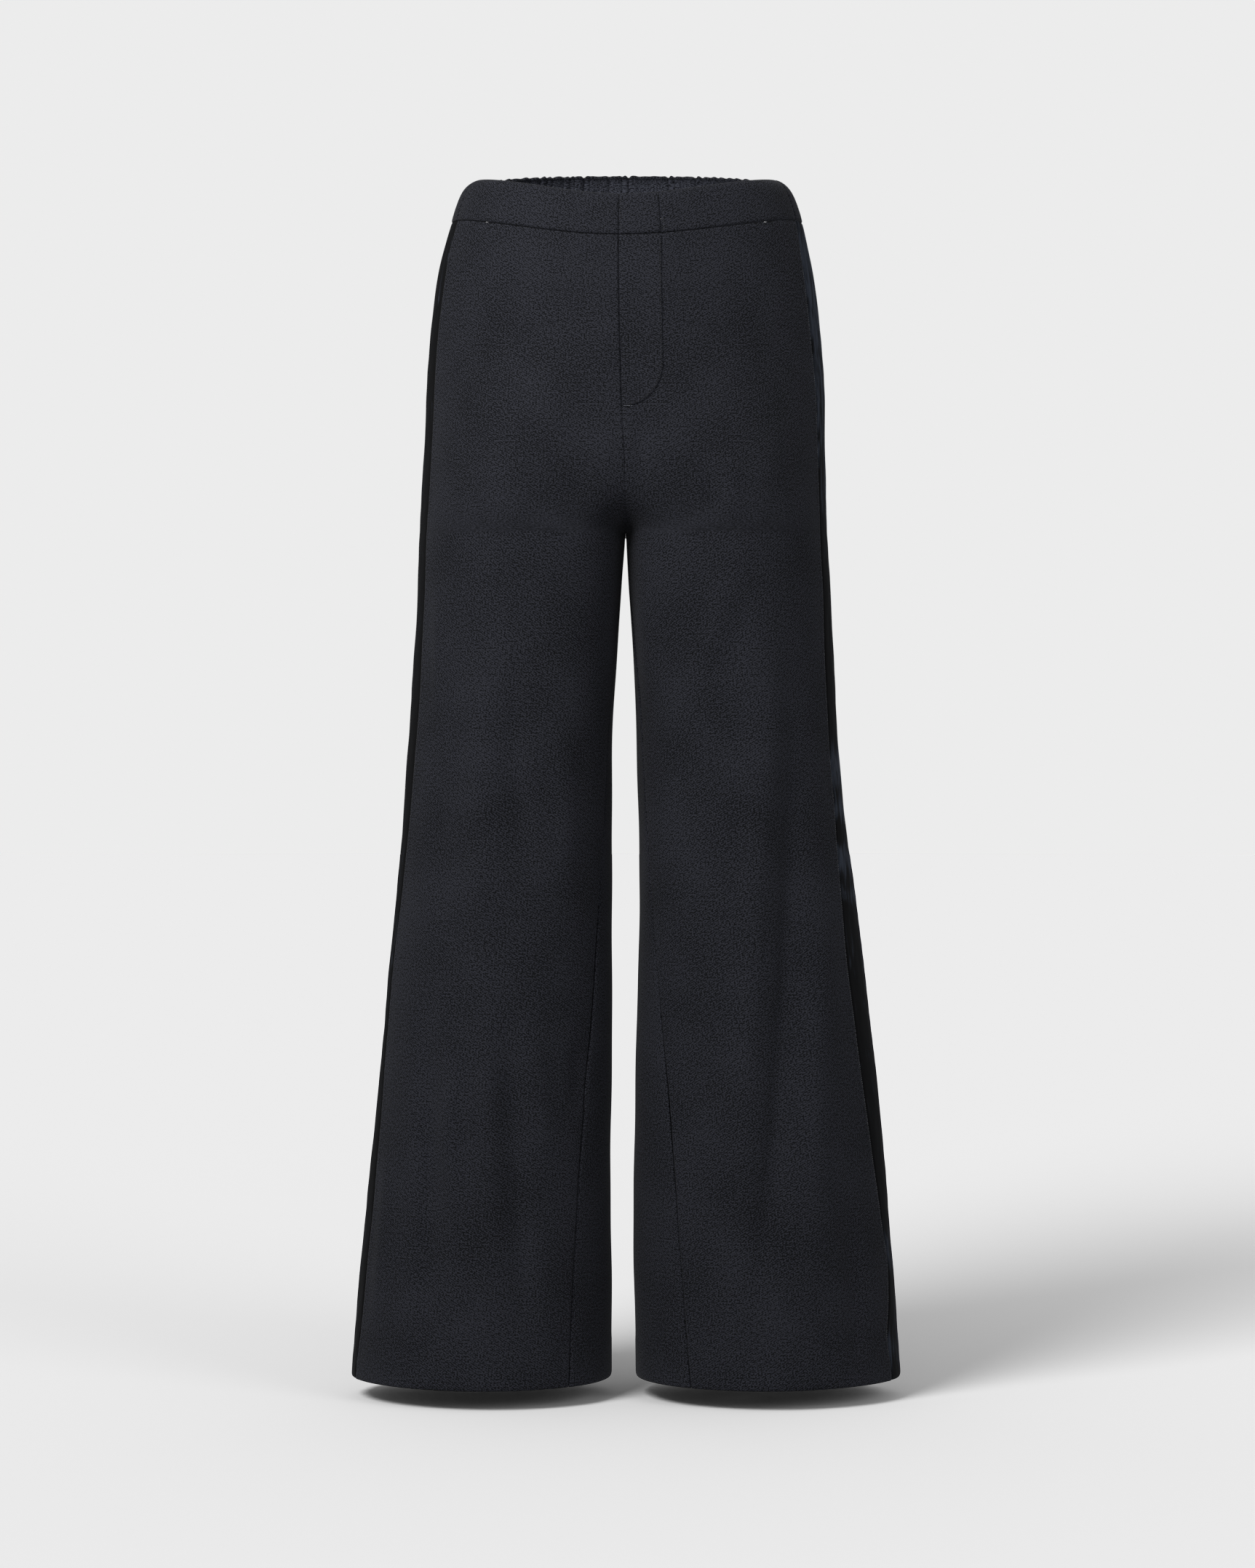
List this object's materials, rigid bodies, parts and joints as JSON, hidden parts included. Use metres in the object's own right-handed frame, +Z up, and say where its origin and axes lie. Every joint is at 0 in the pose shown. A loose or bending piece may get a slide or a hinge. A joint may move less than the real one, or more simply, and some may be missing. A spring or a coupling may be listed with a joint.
{
  "type": "track pants",
  "caption": "Pull-on wide-leg trousers filled out and hollow, with velvet side stripes, a flat front band, a gathered elastic back band and a mock fly",
  "frame": {"origin": "middle of the waist opening, at the height of the waistband's middle line at the sides, where the wearer holds it", "axes": "+X towards the wearer's left, +Y towards the back, +Z up along the legs; the front faces -Y"},
  "size_m": [0.4828, 0.2376, 1.0708],
  "materials": {
    "twill": "near-black navy wool-blend twill, matt with a faint sheen",
    "velvet": "black crushed velvet, deep black with bluish lights where the pile turns",
    "elastic_casing": "the same twill gathered over elastic"
  },
  "bodies": {
    "root": {"front_panel_right": "twill", "front_panel_left": "twill", "back_panel_right": "twill", "back_panel_left": "twill", "side_stripe_right": "velvet", "side_stripe_left": "velvet", "waistband_front_right": "twill", "waistband_front_left": "twill", "waistband_tab": "twill", "waistband_back": "elastic_casing", "fly_lap": "twill"}
  },
  "joints": []
}
